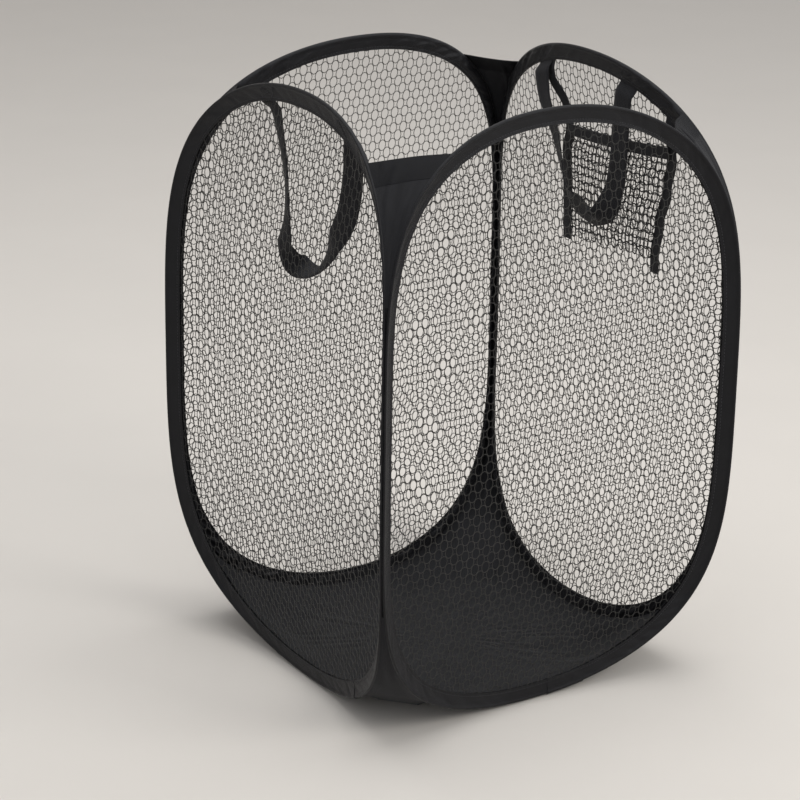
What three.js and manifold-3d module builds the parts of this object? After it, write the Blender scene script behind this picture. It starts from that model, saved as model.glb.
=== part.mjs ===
// Pop-up laundry hamper: four spring-wire frames in bound edges, each with a mesh net,
// joined at their corners by cloth gussets, with a bottom sheet, two webbing handles and a mesh pouch.
// Millimetres, +Z up. The origin is the middle of the base, and the front panel faces -Y.
import * as THREE from "three";
import { mergeVertices } from "three/addons/utils/BufferGeometryUtils.js";
import Module from "manifold-3d";

const wasm = await Module();
wasm.setup();

// Overall form of the opened hamper
const hingeSpan = 414; // between two neighbouring corner seams
const panelHeight = 600;
const baseLift = 1.1; // bound edges stand this far above the underside of the bottom
const cornerGap = 5; // from a bound edge to its corner seam line
const acrossRoundness = 2.12; // exponent of the frame outline across the panel
const uprightRoundness = 4.1; // exponent of the frame outline up the panel

// How far each spring frame bows in towards the middle of the hamper
const bowTop = 28;
const bowBottom = 31;
const bowMiddle = 13;
const bowSharpness = 3;

// Spring wire, its crimped ferrule and the folded binding tape round it
const wireRadius = 1;
const wireEndGap = 1;
const ferruleRoom = 0.1;
const ferruleWall = 0.4;
const ferruleLength = 24;
const sleeveRoom = 0.25;
const tapeWall = 0.6;
const tapeDepth = 18; // of the binding, from its fold to its stitched edge
const slotHalf = 1.15; // half the slot between the tape's two layers at the stitched edge
const lapLength = 42;
const lapRoom = 0.2;
const lapShares = { front: 0.19, right: 0.2, back: 0.2, left: 0.47 }; // of half the width, where the ends overlap
const longestFacet = 70;
const sharpestFacet = Math.PI / 8;

// Mesh net
const netThickness = 0.8;
const netRimThickness = 1.2;
const netRimShow = 1.5; // how far the closed rim shows beyond the binding
const netJoin = 1; // overlap of the rim and the meshes inside it
const netStrand = 5;
const cellWidth = 56;
const cellTall = 128;
const cellShoulder = 72;
const netRoom = 0.45; // between the net's edge and the wire's sleeve
const cellReach = 20; // how far outside the opening the centre of a cut cell may lie

// Cloth at the corners
const clothThickness = 0.7;
const clothRoom = 1;
const hemThickness = 1.8;
const hemTall = 20;
const hemTopDrop = 36; // of the hem's top below the top of the panel
const seamHalfTall = 150;
const gussetSag = 7;
const gussetRows = 6;
const seamRows = 8;
const hemRows = 3;
const gussetColumns = 4;
const bottomCornerRise = 42;

// Bottom, in two halves sewn together across the middle
const bottomThickness = 0.8;
const bottomSeamGap = 0.4;
const bottomSeamShare = 0.4;
const bottomFlatShare = 0.7;
const bottomTurnShare = 0.87;
const bottomTurnRiseShare = 0.3;
const bottomSideSteps = 8;

// Webbing handles
const strapWidth = 25;
const strapThickness = 1.6;
const strapSpan = 140;
const strapFootSpan = 104;
const strapDrop = 147;
const strapRoot = 3; // straight stub of the strap below its anchor
const strapFootDepth = 46;
const strapTwistDegrees = 78;
const strapTwistShare = 0.55; // share of the leg over which the twist comes in
const handleShift = 20;
const handleRoom = 1.2;
const anchorThickness = 1.6;
const anchorTall = 20;
const anchorTopDrop = 4;
const strapTopDrop = 24;
const legSteps = 6;
const footSteps = 10;

// Mesh pouch on the right panel
const pouchCentre = -34;
const pouchWidth = 156;
const pouchTopDrop = 80;
const pouchTall = 116;
const pouchBelly = 6; // how far the pouch's mouth stands off in its middle
const pouchMeshThickness = 0.8;
const pouchCellWidth = 31;
const pouchCellTall = 46;
const pouchCellShoulder = 22;
const pouchStrand = 4;
const pouchMargin = 5;
const pouchHemTall = 12;
const pouchHemThickness = 1.2;
const tapeWidth = 12;
const tapeThickness = 1.2;
const pouchTapeTopDrop = 3;
const pouchTapeTail = 14;
const pouchSteps = 8;
const layerRoom = 0.8;

const cutOverrun = 1;

// Sizes worked out from the ones above
const hingeHalf = hingeSpan / 2;
const halfWidth = hingeHalf - cornerGap;
const halfTall = panelHeight / 2;
const middleHeight = baseLift + halfTall;
const panelTop = baseLift + panelHeight;
const ferruleInner = wireRadius + ferruleRoom;
const ferruleOuter = ferruleInner + ferruleWall;
const sleeveInner = ferruleOuter + sleeveRoom;
const sleeveOuter = sleeveInner + tapeWall;
const tapeReach = tapeDepth - sleeveOuter; // from the wire's middle to the stitched edge
const lapInner = sleeveOuter + lapRoom;
const lapOuter = lapInner + tapeWall;
const netInset = sleeveOuter + sleeveInner + netRoom;
const rimInset = tapeDepth + netRimShow;
const clothHalf = clothThickness / 2;

const black = (hex, roughness) =>
  new THREE.MeshStandardMaterial({ color: hex, roughness, metalness: 0 });
const materials = {
  tape: black(0x26262a, 0.55),
  net: black(0x1b1c1e, 0.75),
  cloth: black(0x2f3034, 0.7),
  webbing: black(0x151517, 0.85),
  steel: new THREE.MeshStandardMaterial({ color: 0x9a9da0, roughness: 0.35, metalness: 1 }),
};

const signedPower = (value, power) => Math.sign(value) * Math.abs(value) ** power;

// A point of a panel's outline in the panel's own plane, and its outward direction there.
// The turn goes from the middle of the bottom edge towards +X.
function edgePoint(turn) {
  const across = signedPower(Math.sin(turn), 2 / acrossRoundness);
  const up = -signedPower(Math.cos(turn), 2 / uprightRoundness);
  const slopeX = signedPower(across, acrossRoundness - 1) * acrossRoundness / halfWidth;
  const slopeZ = signedPower(up, uprightRoundness - 1) * uprightRoundness / halfTall;
  const steepness = Math.hypot(slopeX, slopeZ);
  return {
    x: across * halfWidth,
    z: middleHeight + up * halfTall,
    outX: slopeX / steepness,
    outZ: slopeZ / steepness,
  };
}

const turnAtPlace = (x) => Math.asin(signedPower(x / halfWidth, acrossRoundness / 2));
const turnAtHeight = (z) =>
  Math.acos(-signedPower((z - middleHeight) / halfTall, uprightRoundness / 2));

// How high the outline's upper edge is at a place across the panel
const edgeHeight = (x) => edgePoint(Math.PI - turnAtPlace(x)).z;

// How far the panel's surface lies in from the plane of its two corner seams
function bow(x, z) {
  const up = (z - middleHeight) / halfTall;
  const across = Math.max(0, 1 - (x / halfWidth) ** 2);
  return (up > 0 ? bowTop : bowBottom) * Math.abs(up) ** bowSharpness + bowMiddle * across;
}

// A point of the bowed panel: inset from the outline and set in from the surface
function onPanel(turn, inset, inward) {
  const edge = edgePoint(turn);
  const x = edge.x - edge.outX * inset;
  const z = edge.z - edge.outZ * inset;
  return new THREE.Vector3(x, bow(x, z) + inward, z);
}

function geometryOf(points, faces) {
  const geometry = new THREE.BufferGeometry();
  geometry.setFromPoints(points);
  geometry.setIndex(faces.flat());
  return facedOutward(geometry);
}

// Turns the faces round where the closed surface points inwards
function facedOutward(geometry) {
  const place = geometry.getAttribute("position");
  const index = geometry.index.array;
  const corner = [0, 1, 2].map(() => new THREE.Vector3());
  let volume = 0;
  for (let i = 0; i < index.length; i += 3) {
    corner.forEach((point, k) => point.fromBufferAttribute(place, index[i + k]));
    volume += corner[0].dot(corner[1].clone().cross(corner[2]));
  }
  if (volume < 0) {
    for (let i = 0; i < index.length; i += 3) {
      [index[i], index[i + 1]] = [index[i + 1], index[i]];
    }
  }
  return geometry;
}

// The faces from each of the first rings to the one after it, where the last is followed by the first
function tube(steps, count, ringCount) {
  const faces = [];
  for (let ring = 0; ring < steps; ring++) {
    const next = (ring + 1) % ringCount;
    for (let i = 0; i < count; i++) {
      const beside = (i + 1) % count;
      const [a, b] = [ring * count + i, ring * count + beside];
      const [c, d] = [next * count + beside, next * count + i];
      faces.push([a, b, c], [a, c, d]);
    }
  }
  return faces;
}

// Joins rings of points into one closed ring
const closedRing = (rings) =>
  geometryOf(rings.flat(), tube(rings.length, rings[0].length, rings.length));

// Joins rings of points, each with the same count, into one closed body with flat ends
function skinned(rings, section) {
  const count = section.length;
  const faces = tube(rings.length - 1, count, rings.length);
  const last = (rings.length - 1) * count;
  const clockwise = THREE.ShapeUtils.isClockWise(section);
  for (const triangle of THREE.ShapeUtils.triangulateShape(section, [])) {
    const [a, b, c] = clockwise ? triangle.toReversed() : triangle;
    faces.push([a, c, b], [last + a, last + b, last + c]);
  }
  return geometryOf(rings.flat(), faces);
}

// Stations along one frame, from one wire end round to the other, closer together where it curves
function frameTurns(lapPlace) {
  const start = turnAtPlace(lapPlace);
  const fine = Math.PI / 1000;
  const pace = edgeStep(start, fine).length / fine;
  const near = [wireEndGap, ferruleLength, lapLength].map((length) => length / 2 / pace);
  const turns = near.map((turn) => start + turn);
  const last = start + 2 * Math.PI - near[2];
  let travelled = 0;
  for (let turn = turns[2]; turn < last; turn += fine) {
    const { length, bend } = edgeStep(turn, fine);
    travelled += length / longestFacet + bend / sharpestFacet;
    if (travelled > 1) {
      turns.push(turn);
      travelled = 0;
    }
  }
  turns.push(...near.map((turn) => start + 2 * Math.PI - turn).reverse());
  return { start, near, turns };
}

// How long one small step along the outline is, and how far the outline turns in it
function edgeStep(turn, fine) {
  const a = edgePoint(turn);
  const b = edgePoint(turn + fine);
  const bend = Math.acos(Math.min(1, a.outX * b.outX + a.outZ * b.outZ));
  return { length: Math.hypot(b.x - a.x, b.z - a.z), bend };
}

const ringsOnPanel = (turns, section) =>
  turns.map((turn) => section.map((point) => onPanel(turn, sleeveOuter + point.x, point.y)));

const sweptOnPanel = (turns, section) => skinned(ringsOnPanel(turns, section), section);

const hexagon = (radius) =>
  [0, 1, 2, 3, 4, 5].map((k) =>
    new THREE.Vector2(-radius * Math.cos(k * Math.PI / 3), radius * Math.sin(k * Math.PI / 3)));

// A strip folded round the wire: x runs in from the wire's middle, y across the thickness
function foldedSection(innerRadius, innerHalf) {
  const wall = tapeWall;
  const fold = (radius) =>
    [-2, -1, 0, 1, 2].map((k) =>
      new THREE.Vector2(-radius * Math.cos(k * Math.PI / 3), radius * Math.sin(k * Math.PI / 3)));
  const outer = fold(innerRadius + wall);
  const inner = fold(innerRadius).reverse();
  return [
    ...outer,
    new THREE.Vector2(tapeReach, innerHalf + wall),
    new THREE.Vector2(tapeReach, innerHalf),
    ...inner,
    new THREE.Vector2(tapeReach, -innerHalf),
    new THREE.Vector2(tapeReach, -innerHalf - wall),
  ];
}

function solidOf(geometry) {
  const bare = geometry.clone();
  bare.deleteAttribute("normal");
  bare.deleteAttribute("uv");
  const merged = mergeVertices(bare, 1e-4);
  return new wasm.Manifold(new wasm.Mesh({
    numProp: 3,
    vertProperties: merged.getAttribute("position").array,
    triVerts: new Uint32Array(merged.index.array),
  }));
}

function geometryFrom(solid) {
  const mesh = solid.getMesh();
  const geometry = new THREE.BufferGeometry();
  geometry.setAttribute("position", new THREE.BufferAttribute(mesh.vertProperties, 3));
  geometry.setIndex(new THREE.BufferAttribute(mesh.triVerts, 1));
  return geometry;
}

const wire = (frame) => sweptOnPanel(frame.turns, hexagon(wireRadius));

function ferrule(frame) {
  const [gapTurn, ferruleTurn] = frame.near;
  const turns = [-ferruleTurn, -gapTurn, gapTurn, ferruleTurn].map((turn) => frame.start + turn);
  const beyond = cutOverrun / ferruleLength * ferruleTurn;
  const boreTurns = [turns[0] - beyond, ...turns, turns[3] + beyond];
  const body = solidOf(sweptOnPanel(turns, hexagon(ferruleOuter)));
  return geometryFrom(body.subtract(solidOf(sweptOnPanel(boreTurns, hexagon(ferruleInner)))));
}

const binding = (frame) => sweptOnPanel(frame.turns, foldedSection(sleeveInner, slotHalf));

function bindingLap(frame) {
  const [gapTurn, ferruleTurn, lapTurn] = frame.near;
  const turns = [-lapTurn, -ferruleTurn, -gapTurn, gapTurn, ferruleTurn, lapTurn]
    .map((turn) => frame.start + turn);
  return sweptOnPanel(turns, foldedSection(lapInner, slotHalf + tapeWall + lapRoom));
}

// A flat plate in the X-Z plane, its thickness along Y
function plate(outline, thickness) {
  const flat = new THREE.ExtrudeGeometry(new THREE.Shape(outline), {
    depth: thickness,
    bevelEnabled: false,
  });
  flat.translate(0, 0, -thickness / 2);
  flat.rotateX(Math.PI / 2);
  return flat;
}

const panelOutline = (turns, inset) =>
  turns.map((turn) => {
    const point = onPanel(turn, inset, 0);
    return new THREE.Vector2(point.x, point.z);
  });

// Staggered tall six-sided gaps, as one body per gap, over the box of the outline
function netGaps(outline, thickness, cell, strand, isKept) {
  const box = new THREE.Box2().setFromPoints(outline);
  const shrinkX = (cell.width - strand) / cell.width;
  const shrinkZ = (cell.tall - strand) / cell.tall;
  const pitch = (cell.tall + cell.shoulder) / 2;
  const middle = box.getCenter(new THREE.Vector2());
  const rows = Math.ceil(box.getSize(new THREE.Vector2()).y / pitch / 2) + 1;
  const columns = Math.ceil(box.getSize(new THREE.Vector2()).x / cell.width / 2) + 1;
  const gaps = [];
  for (let row = -rows; row <= rows; row++) {
    for (let column = -columns; column <= columns; column++) {
      const x = middle.x + (column + (row % 2 ? 0.5 : 0)) * cell.width;
      const z = middle.y + row * pitch;
      if (!isKept(x, z)) continue;
      const corners = [
        [0, cell.tall / 2], [-cell.width / 2, cell.shoulder / 2], [-cell.width / 2, -cell.shoulder / 2],
        [0, -cell.tall / 2], [cell.width / 2, -cell.shoulder / 2], [cell.width / 2, cell.shoulder / 2],
      ];
      const hole = corners.map(([dx, dz]) => new THREE.Vector2(x + dx * shrinkX, z + dz * shrinkZ));
      gaps.push(solidOf(plate(hole, thickness + 2 * cutOverrun)));
    }
  }
  return wasm.Manifold.union(gaps);
}

// Moves a flat piece onto the bowed panel, standing off it by what the given function says
function bowed(geometry, standAt) {
  const place = geometry.getAttribute("position");
  for (let i = 0; i < place.count; i++) {
    const [x, z] = [place.getX(i), place.getZ(i)];
    place.setY(i, place.getY(i) + bow(x, z) + standAt(x, z));
  }
  return geometry;
}

const onSurface = () => 0;

const insideOutline = (x, z, margin) =>
  (Math.abs(x) / (halfWidth - margin)) ** acrossRoundness +
    (Math.abs(z - middleHeight) / (halfTall - margin)) ** uprightRoundness < 1;

// The net's closed rim under the binding, and the open meshes inside it
function net(frame) {
  const half = netRimThickness / 2;
  const rimSection = [[netInset, -half], [rimInset, -half], [rimInset, half], [netInset, half]]
    .map(([inset, inward]) => new THREE.Vector2(inset - sleeveOuter, inward));
  const rim = solidOf(closedRing(ringsOnPanel(frame.turns, rimSection)));
  const opening = panelOutline(frame.turns, rimInset);
  const cell = { width: cellWidth, tall: cellTall, shoulder: cellShoulder };
  const gaps = netGaps(opening, netThickness, cell, netStrand,
    (x, z) => insideOutline(x, z, rimInset - cellReach));
  const window = solidOf(plate(opening, netThickness + 2 * cutOverrun));
  const sheet = solidOf(plate(panelOutline(frame.turns, rimInset - netJoin), netThickness));
  const meshes = geometryFrom(sheet.subtract(gaps.intersect(window)));
  return geometryFrom(rim.add(solidOf(bowed(meshes, onSurface))));
}

// The same place on the next panel round, by mirroring in the plane through the corner seam
const acrossCorner = (point) =>
  new THREE.Vector3(hingeHalf - point.y, hingeHalf - point.x, point.z);

// Cloth stretched from this panel's edge to the next one's, between two heights
function cornerCloth(lowHeight, highHeight, rows, thickness, sag) {
  const outward = new THREE.Vector3(1, -1, 0).normalize().multiplyScalar(thickness / 2);
  const outer = [];
  const inner = [];
  for (let row = 0; row <= rows; row++) {
    const height = THREE.MathUtils.lerp(lowHeight, highHeight, row / rows);
    const near = onPanel(turnAtHeight(height), -clothRoom, 0);
    const far = acrossCorner(near);
    for (let column = 0; column <= gussetColumns; column++) {
      const share = column / gussetColumns;
      const dip = sag * Math.sin(Math.PI * share) * near.distanceTo(far) / hingeHalf * 2;
      const point = near.clone().lerp(far, share);
      point.addScaledVector(outward, -dip / (thickness / 2));
      outer.push(point.clone().add(outward));
      inner.push(point.clone().sub(outward));
    }
  }
  return doubleSheet(outer, inner, rows + 1, gussetColumns + 1);
}

// Two grids of points, one over the other, closed round their rim
function doubleSheet(outer, inner, rows, columns) {
  const faces = [];
  const at = (row, column) => row * columns + column;
  const under = rows * columns;
  for (let row = 0; row + 1 < rows; row++) {
    for (let column = 0; column + 1 < columns; column++) {
      const [a, b] = [at(row, column), at(row, column + 1)];
      const [c, d] = [at(row + 1, column + 1), at(row + 1, column)];
      faces.push([a, b, c], [a, c, d], [under + a, under + c, under + b], [under + a, under + d, under + c]);
    }
  }
  const rim = [];
  for (let column = 0; column + 1 < columns; column++) rim.push(at(0, column));
  for (let row = 0; row + 1 < rows; row++) rim.push(at(row, columns - 1));
  for (let column = columns - 1; column > 0; column--) rim.push(at(rows - 1, column));
  for (let row = rows - 1; row > 0; row--) rim.push(at(row, 0));
  rim.forEach((a, i) => {
    const b = rim[(i + 1) % rim.length];
    faces.push([a, under + b, b], [a, under + a, under + b]);
  });
  return geometryOf([...outer, ...inner], faces);
}

const hemTop = panelTop - hemTopDrop;
const hemFoot = hemTop - hemTall;
const seamTop = middleHeight + seamHalfTall;
const seamFoot = middleHeight - seamHalfTall;
const bottomCornerHeight = baseLift + bottomCornerRise;

const upperGusset = () =>
  cornerCloth(seamTop + clothRoom, hemFoot - clothRoom, gussetRows, clothThickness, gussetSag);
const gussetHem = () => cornerCloth(hemFoot, hemTop, hemRows, hemThickness, gussetSag);
const cornerSeam = () => cornerCloth(seamFoot, seamTop, seamRows, clothThickness, 0);
const lowerGusset = () =>
  cornerCloth(bottomCornerHeight, seamFoot - clothRoom, gussetRows, clothThickness, gussetSag);

// The edge of the bottom sheet along one panel, just inside its binding
function bottomSide(quarter) {
  const reach = turnAtHeight(bottomCornerHeight);
  const points = [];
  for (let step = 0; step <= bottomSideSteps; step++) {
    const turn = THREE.MathUtils.lerp(-reach, reach, step / bottomSideSteps);
    const point = onPanel(turn, sleeveOuter, lapOuter + clothRoom);
    points.push(placedOnSide(point, quarter));
  }
  return points;
}

// From a panel's own frame to the hamper's: quarter 0 is the front, counted towards +X
function placedOnSide(point, quarter) {
  return point.clone()
    .add(new THREE.Vector3(0, -hingeHalf, 0))
    .applyAxisAngle(new THREE.Vector3(0, 0, 1), quarter * Math.PI / 2);
}

function scaledRim(rim, share, riseShare, shift) {
  return rim.map((point) => new THREE.Vector3(point.x * share, point.y * share + shift, point.z * riseShare));
}

// Half of a shallow dish of cloth, from the seam across its middle out to the frames' lower edges.
// It takes half of one side, the whole of the next and half of the one after.
function bottomHalf(firstQuarter, seamSide) {
  const half = bottomSideSteps / 2;
  const rim = [
    ...bottomSide(firstQuarter).slice(half),
    ...bottomSide(firstQuarter + 1),
    ...bottomSide(firstQuarter + 2).slice(0, half + 1),
  ];
  const seamSpan = bottomSeamShare * (rim.at(-1).x - rim[0].x);
  const seamShift = seamSide * bottomSeamGap / 2;
  const seam = rim.map((point, column) => new THREE.Vector3(
    bottomSeamShare * rim[0].x + seamSpan * column / (rim.length - 1),
    seamShift,
    0,
  ));
  const rows = [
    seam,
    scaledRim(rim, bottomFlatShare, 0, seamShift),
    scaledRim(rim, bottomTurnShare, bottomTurnRiseShare, seamShift),
    scaledRim(rim, 1, 1, seamShift),
  ];
  const lower = rows.flat();
  const upper = lower.map((point) => point.clone().setZ(point.z + bottomThickness));
  return doubleSheet(lower, upper, rows.length, rim.length);
}

// Handles hang from the top binding, in the panel's own frame
const strapTop = panelTop - strapTopDrop;
const anchorStand = sleeveOuter + layerRoom + anchorThickness / 2;
const strapStand = anchorStand + anchorThickness / 2 + handleRoom + strapThickness / 2;
const strapPlane = bow(handleShift - strapSpan / 2, strapTop) + strapStand;

// Middle line of the strap from one end round to the other, with its twist at each point
function strapRoute() {
  const footTop = strapTop - strapDrop + strapFootDepth;
  const legTop = strapTop - strapRoot;
  const route = [{ x: -strapSpan / 2, z: strapTop, share: 0 }];
  for (let step = 0; step < legSteps; step++) {
    const share = step / legSteps;
    const half = THREE.MathUtils.lerp(strapSpan, strapFootSpan, share) / 2;
    route.push({ x: -half, z: THREE.MathUtils.lerp(legTop, footTop, share), share });
  }
  for (let step = 0; step <= footSteps; step++) {
    const turn = step / footSteps * Math.PI;
    route.push({
      x: -strapFootSpan / 2 * Math.cos(turn),
      z: footTop - strapFootDepth * Math.sin(turn),
      share: 1,
    });
  }
  const legs = route.slice(0, legSteps + 1).reverse();
  return [...route, ...legs.map((point) => ({ ...point, x: -point.x }))];
}

function handleStrap() {
  const route = strapRoute();
  const corners = [[-1, -1], [1, -1], [1, 1], [-1, 1]];
  const rings = route.map((point, i) => {
    const before = route[Math.max(0, i - 1)];
    const after = route[Math.min(route.length - 1, i + 1)];
    const along = new THREE.Vector3(after.x - before.x, 0, after.z - before.z).normalize();
    const inward = new THREE.Vector3(0, 1, 0);
    const beside = new THREE.Vector3().crossVectors(along, inward);
    const eased = THREE.MathUtils.smoothstep(point.share, 0, strapTwistShare);
    const twist = THREE.MathUtils.degToRad(strapTwistDegrees) * eased;
    const wide = beside.clone().multiplyScalar(Math.cos(twist)).addScaledVector(inward, Math.sin(twist));
    const thick = new THREE.Vector3().crossVectors(along, wide);
    const stand = strapPlane + Math.sin(twist) * strapWidth / 2;
    const centre = new THREE.Vector3(handleShift + point.x, stand, point.z);
    return corners.map(([a, b]) => centre.clone()
      .addScaledVector(wide, a * strapWidth / 2)
      .addScaledVector(thick, b * strapThickness / 2));
  });
  return skinned(rings, corners.map((corner) => new THREE.Vector2(...corner)));
}

// A thin strip that follows the bowed panel, in so many steps across and up
function bowedStrip(lowX, highX, lowZ, highZ, thickness, standAt, columns, rows) {
  const outer = [];
  const inner = [];
  for (let row = 0; row <= rows; row++) {
    const z = THREE.MathUtils.lerp(lowZ, highZ, row / rows);
    for (let column = 0; column <= columns; column++) {
      const x = THREE.MathUtils.lerp(lowX, highX, column / columns);
      const y = bow(x, z) + standAt(x, z);
      inner.push(new THREE.Vector3(x, y + thickness / 2, z));
      outer.push(new THREE.Vector3(x, y - thickness / 2, z));
    }
  }
  return doubleSheet(outer, inner, rows + 1, columns + 1);
}

function handleAnchor(side) {
  const middle = handleShift + side * strapSpan / 2;
  const half = strapWidth / 2;
  const top = Math.min(edgeHeight(middle - half), edgeHeight(middle + half)) - anchorTopDrop;
  return bowedStrip(middle - half, middle + half, top - anchorTall, top,
    anchorThickness, () => anchorStand, 1, 1);
}

const pouchTop = panelTop - pouchTopDrop;
const pouchFoot = pouchTop - pouchTall;
const pouchTapeStand = sleeveOuter + layerRoom + tapeThickness / 2;
const pouchSideStand = pouchTapeStand + tapeThickness / 2 + layerRoom + pouchMeshThickness / 2;
const hemOnMesh = pouchMeshThickness / 2 + layerRoom + pouchHemThickness / 2;

// How far the pouch mesh stands off the panel: most in the middle of its mouth
function pouchStand(x, z) {
  const across = (x - pouchCentre) / (pouchWidth / 2);
  const up = (z - pouchFoot) / pouchTall;
  return pouchSideStand + pouchBelly * up * (1 - across ** 2);
}

function pouchMesh() {
  const outline = [];
  for (let step = 0; step <= pouchSteps; step++) {
    const across = (step / pouchSteps - 0.5) * pouchWidth;
    outline.push(new THREE.Vector2(pouchCentre + across, pouchFoot));
    outline.unshift(new THREE.Vector2(pouchCentre + across, pouchTop));
  }
  const cell = { width: pouchCellWidth, tall: pouchCellTall, shoulder: pouchCellShoulder };
  const gaps = netGaps(outline, pouchMeshThickness, cell, pouchStrand, () => true);
  const windowBox = new THREE.BoxGeometry(
    pouchWidth - 2 * pouchMargin - tapeWidth,
    pouchMeshThickness + 2 * cutOverrun,
    pouchTall - pouchHemTall - pouchMargin,
  );
  windowBox.translate(pouchCentre, 0, pouchFoot + pouchMargin + windowBox.parameters.depth / 2);
  const sheet = solidOf(plate(outline, pouchMeshThickness));
  return bowed(geometryFrom(sheet.subtract(gaps.intersect(solidOf(windowBox)))), pouchStand);
}

const pouchHem = () =>
  bowedStrip(pouchCentre - pouchWidth / 2, pouchCentre + pouchWidth / 2,
    pouchTop - pouchHemTall, pouchTop, pouchHemThickness,
    (x, z) => pouchStand(x, z) + hemOnMesh, pouchSteps, 1);

function pouchTape(side) {
  const middle = pouchCentre + side * (pouchWidth - tapeWidth) / 2;
  const half = tapeWidth / 2;
  const top = Math.min(edgeHeight(middle - half), edgeHeight(middle + half)) - pouchTapeTopDrop;
  return bowedStrip(middle - half, middle + half, pouchFoot - pouchTapeTail, top,
    tapeThickness, () => pouchTapeStand, 1, pouchSteps);
}

const hamper = new THREE.Group();
const sides = ["front", "right", "back", "left"];

// A frame of reference per panel: its own plane through the two corner seams
function sideGroup(quarter) {
  const group = new THREE.Group();
  group.rotation.z = quarter * Math.PI / 2;
  const slide = new THREE.Group();
  slide.position.y = -hingeHalf;
  group.add(slide);
  hamper.add(group);
  return slide;
}

function addPiece(group, name, geometry, material) {
  const mesh = new THREE.Mesh(geometry, material);
  mesh.name = name;
  group.add(mesh);
}

sides.forEach((side, quarter) => {
  const group = sideGroup(quarter);
  const next = sides[(quarter + 1) % sides.length];
  const corner = `${side}_${next}`;
  const frame = frameTurns(lapShares[side] * halfWidth);
  addPiece(group, `wire_loop_${side}`, wire(frame), materials.steel);
  addPiece(group, `wire_ferrule_${side}`, ferrule(frame), materials.steel);
  addPiece(group, `binding_${side}`, binding(frame), materials.tape);
  addPiece(group, `binding_lap_${side}`, bindingLap(frame), materials.tape);
  addPiece(group, `net_${side}`, net(frame), materials.net);
  addPiece(group, `upper_gusset_${corner}`, upperGusset(), materials.cloth);
  addPiece(group, `gusset_hem_${corner}`, gussetHem(), materials.cloth);
  addPiece(group, `corner_seam_${corner}`, cornerSeam(), materials.tape);
  addPiece(group, `lower_gusset_${corner}`, lowerGusset(), materials.cloth);
  if (side === "left" || side === "right") {
    addPiece(group, `handle_strap_${side}`, handleStrap(), materials.webbing);
    addPiece(group, `handle_anchor_${side}_a`, handleAnchor(-1), materials.webbing);
    addPiece(group, `handle_anchor_${side}_b`, handleAnchor(1), materials.webbing);
  }
  if (side === "right") {
    addPiece(group, "pouch_mesh", pouchMesh(), materials.net);
    addPiece(group, "pouch_hem", pouchHem(), materials.tape);
    addPiece(group, "pouch_tape_a", pouchTape(-1), materials.tape);
    addPiece(group, "pouch_tape_b", pouchTape(1), materials.tape);
  }
});
addPiece(hamper, "bottom_front_half", bottomHalf(3, -1), materials.cloth);
addPiece(hamper, "bottom_back_half", bottomHalf(1, 1), materials.cloth);

export default hamper;
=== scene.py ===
# Pop-up laundry hamper: four wire frames in bound edges with mesh nets, cloth corners, a cloth
# bottom, two webbing handles and a mesh pouch. Metres, +Z up, the front panel faces -Y.
import math
from bisect import bisect_left

import bmesh
import bpy
from mathutils import Matrix, Vector, noise


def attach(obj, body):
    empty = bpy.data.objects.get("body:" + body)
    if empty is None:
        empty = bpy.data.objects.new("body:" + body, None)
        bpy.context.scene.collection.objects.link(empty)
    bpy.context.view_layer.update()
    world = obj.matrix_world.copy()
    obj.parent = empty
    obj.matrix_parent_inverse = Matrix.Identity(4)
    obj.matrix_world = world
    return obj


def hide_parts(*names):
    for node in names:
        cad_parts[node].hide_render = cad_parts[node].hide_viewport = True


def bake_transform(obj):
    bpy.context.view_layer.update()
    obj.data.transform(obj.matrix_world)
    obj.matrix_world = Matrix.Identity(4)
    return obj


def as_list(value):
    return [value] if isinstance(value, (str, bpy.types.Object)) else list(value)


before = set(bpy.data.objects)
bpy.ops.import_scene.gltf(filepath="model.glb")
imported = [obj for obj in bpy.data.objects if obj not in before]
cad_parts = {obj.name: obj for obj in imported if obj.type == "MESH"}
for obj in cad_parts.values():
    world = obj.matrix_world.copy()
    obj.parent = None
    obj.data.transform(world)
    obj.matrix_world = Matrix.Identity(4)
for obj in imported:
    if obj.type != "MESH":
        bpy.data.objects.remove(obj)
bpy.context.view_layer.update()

# Form of one panel, as in the solids
hinge_half = 0.207
corner_gap = 0.0032
panel_height = 0.6
base_lift = 0.0011
across_roundness = 2.12
upright_roundness = 4.1
bow_top = 0.028
bow_bottom = 0.031
bow_middle = 0.0108
bow_sharpness = 3
edge_bow = 0.0022
turned_bow = 0.0165  # how far the tape turns the net inwards of the outline
turned_reach = 0.044
laying_step = 0.003
half_width = hinge_half - corner_gap
half_tall = panel_height / 2
middle_height = base_lift + half_tall
panel_top = base_lift + panel_height

# Binding tape folded round the spring wire
tape_depth = 0.0168
tape_round_wire = 0.004  # of the cut width, folded round the wire
tape_cut_width = 2 * tape_depth + tape_round_wire
tape_wall = 0.00055
fold_radius = 0.00235
wire_radius = 0.001
wire_end_gap = 0.001
ferrule_radius = 0.0015
ferrule_crimp = 0.00022
ferrule_length = 0.024
ferrule_columns = 36
stitch_inset = 0.0138
stitch_stand = 0.0011
# From the tape's stitched edge towards its fold: place in from the outline and half thickness
tape_flange = [
    (tape_depth, 0.00148), (0.0160, 0.00132), (0.0149, 0.00112), (stitch_inset, 0.00098),
    (0.0127, 0.00112), (0.0113, 0.00132), (0.0095, 0.00142), (0.0078, 0.00152), (0.0064, 0.00172),
]
tape_fold_degrees = (40, 66, 92, 118, 146)
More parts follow.
